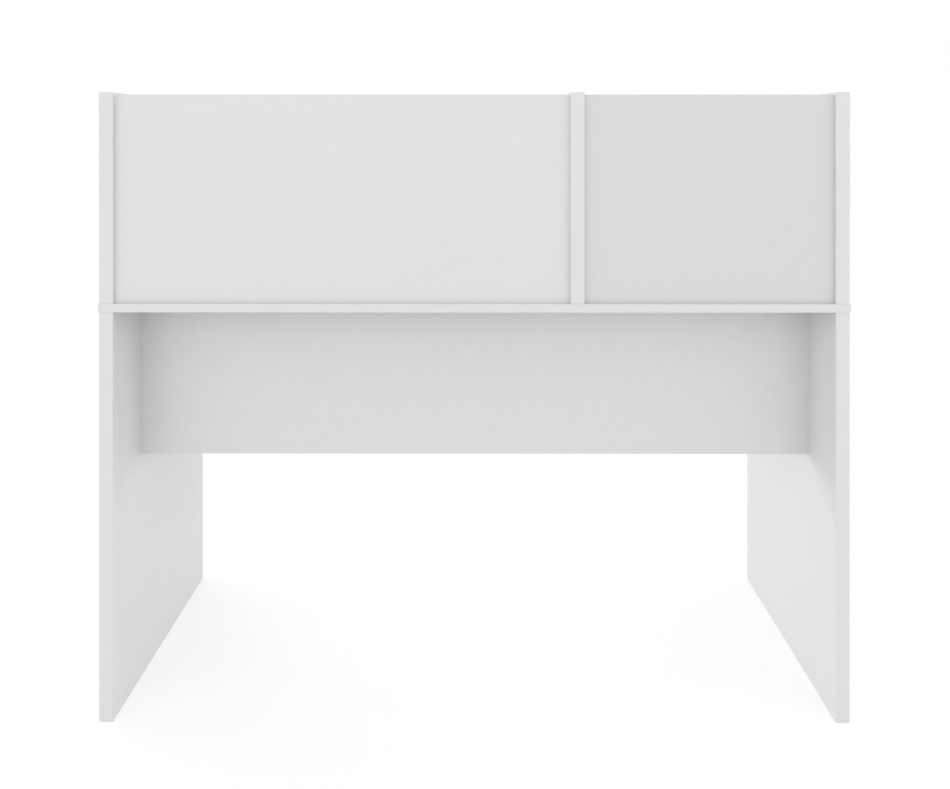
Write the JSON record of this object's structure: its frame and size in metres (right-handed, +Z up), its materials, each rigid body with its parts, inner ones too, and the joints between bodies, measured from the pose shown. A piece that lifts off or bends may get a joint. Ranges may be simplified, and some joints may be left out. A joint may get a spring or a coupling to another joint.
{
  "type": "desk with hutch",
  "caption": "Panel-leg writing desk with a modesty panel and a closed-back hutch of two unequal open bays, joined flat-pack with cam locks, bolts and dowels.",
  "frame": {"origin": "on the floor, under the middle of the desktop, which is the middle of the whole object's box", "axes": "+Z up, +X to the right of a person sitting at the desk, +Y towards the rear, where the hutch's closed backs are; the user sits on the -Y side"},
  "size_m": [1.35, 0.54, 1.13],
  "materials": {
    "white_board": "white melamine-faced chipboard, faint vertical grain, satin",
    "white_band": "white edge band, satin, fine lines along its length",
    "white_cap": "white moulded cap, smooth satin",
    "cast_zinc": "die-cast zinc, dull",
    "plated_steel": "zinc-plated steel, bright",
    "beech": "raw beech"
  },
  "bodies": {
    "root": {"left_leg_panel": "white_board", "right_leg_panel": "white_board", "leg_edge_bands": "white_band", "desktop": "white_board", "desktop_edge_bands": "white_band", "modesty_panel": "white_board", "modesty_edge_band": "white_band", "hutch_left_side": "white_board", "hutch_right_side": "white_board", "hutch_divider": "white_board", "upright_edge_bands": "white_band", "wide_back_panel": "white_board", "narrow_back_panel": "white_board", "back_edge_bands": "white_band", "wide_top_board": "white_board", "narrow_top_board": "white_board", "top_edge_bands": "white_band", "bay_shelf": "white_board", "shelf_edge_band": "white_band", "shelf_pins": "plated_steel", "upright_cam_locks": "cast_zinc", "panel_cam_locks": "cast_zinc", "cam_caps": "white_cap", "connecting_bolts": "plated_steel", "through_bolts": "plated_steel", "wooden_dowels": "beech", "divider_screws": "plated_steel"}
  },
  "joints": []
}
